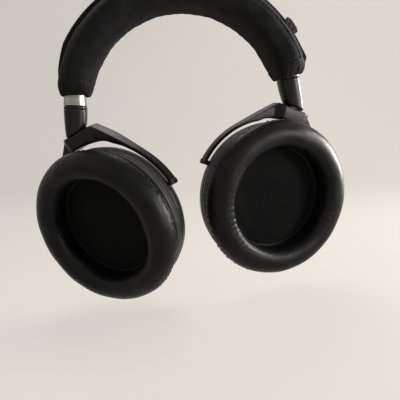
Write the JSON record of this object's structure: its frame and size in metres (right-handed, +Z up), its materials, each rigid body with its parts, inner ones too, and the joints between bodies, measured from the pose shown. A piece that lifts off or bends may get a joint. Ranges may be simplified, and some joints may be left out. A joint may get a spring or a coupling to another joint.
{
  "type": "over-ear headphones",
  "caption": "Over-ear headphones with a zipped padded headband cover, sliding rails, swivelling forks and tilting round cups with soft ear pads.",
  "frame": {"origin": "underside of the headband cover at the middle of its arch, where it rests on the head", "axes": "+Z up through the top of the arch, +X towards the right cup seen from the pads' side, -Y towards the side the pads face"},
  "size_m": [0.2023, 0.0815, 0.2046],
  "materials": {
    "cover_cloth": "matt black woven cover",
    "zip_tape": "black woven zip tape with moulded teeth",
    "steel": "plain spring or pin steel",
    "foam": "soft dark foam or felt",
    "black_plastic": "moulded, matt",
    "brushed_rail": "brushed along its width",
    "dark_metal": "dark gunmetal, satin",
    "dark_plastic": "moulded, satin",
    "satin_black": "moulded, satin",
    "diaphragm_film": "thin formed film",
    "ear_mesh": "open-weave black cloth",
    "soft_leather": "soft black synthetic leather over foam"
  },
  "bodies": {
    "headband": {"headband_cover": "cover_cloth", "cover_zip": "zip_tape", "headband_spring": "steel", "lower_padding": "foam", "upper_padding": "foam", "left_slider_guide": "black_plastic", "right_slider_guide": "black_plastic"},
    "zip_runner": {"zip_slider": "dark_metal", "zip_pull": "dark_metal"},
    "left_slider": {"left_slider_rail": "brushed_rail", "left_arm": "dark_metal"},
    "left_fork": {"left_yoke": "dark_metal", "left_swivel_pin": "steel"},
    "left_cup": {"left_inner_pivot_pin": "steel", "left_outer_pivot_pin": "steel", "left_outer_shell": "dark_plastic", "left_outer_cover": "satin_black", "left_damping_felt": "foam", "left_trim_ring": "dark_metal", "left_inner_shell": "black_plastic", "left_baffle": "black_plastic", "left_driver_basket": "black_plastic", "left_diaphragm": "diaphragm_film", "left_magnet": "steel", "left_pad_ring": "black_plastic", "left_ear_cloth": "ear_mesh", "left_ear_pad": "soft_leather", "left_jack_socket": "dark_plastic"},
    "right_slider": {"right_slider_rail": "brushed_rail", "right_arm": "dark_metal"},
    "right_fork": {"right_yoke": "dark_metal", "right_swivel_pin": "steel"},
    "right_cup": {"right_inner_pivot_pin": "steel", "right_outer_pivot_pin": "steel", "right_outer_shell": "dark_plastic", "right_outer_cover": "satin_black", "right_damping_felt": "foam", "right_trim_ring": "dark_metal", "right_inner_shell": "black_plastic", "right_baffle": "black_plastic", "right_driver_basket": "black_plastic", "right_diaphragm": "diaphragm_film", "right_magnet": "steel", "right_pad_ring": "black_plastic", "right_ear_cloth": "ear_mesh", "right_ear_pad": "soft_leather"}
  },
  "joints": [
    {"name": "zip_slide", "type": "hinge", "parent": "headband", "child": "zip_runner", "pos_m": [0, 0, -0.0575], "axis": [0, 1, 0], "range_deg": [-118, 6]},
    {"name": "left_slide", "type": "slide", "parent": "headband", "child": "left_slider", "axis": [-0.3256, 0, -0.9455], "range_m": [-0.007, 0.013]},
    {"name": "right_slide", "type": "slide", "parent": "headband", "child": "right_slider", "axis": [0.3256, 0, -0.9455], "range_m": [0, 0.02]},
    {"name": "left_swivel", "type": "hinge", "parent": "left_slider", "child": "left_fork", "pos_m": [-0.07227, 0, -0.06994], "axis": [-0.3762, 0, 0.9265], "range_deg": [-5, 140]},
    {"name": "right_swivel", "type": "hinge", "parent": "right_slider", "child": "right_fork", "pos_m": [0.06999, 0, -0.06332], "axis": [-0.3762, 0, -0.9265], "range_deg": [-25, 120]},
    {"name": "left_tilt", "type": "hinge", "parent": "left_fork", "child": "left_cup", "pos_m": [-0.05246, 0.00122, -0.1164], "axis": [0.7552, -0.5793, 0.3067], "range_deg": [-10, 10]},
    {"name": "right_tilt", "type": "hinge", "parent": "right_fork", "child": "right_cup", "pos_m": [0.05062, 0.00145, -0.10996], "axis": [0.8941, 0.2622, -0.3631], "range_deg": [-10, 10]}
  ]
}
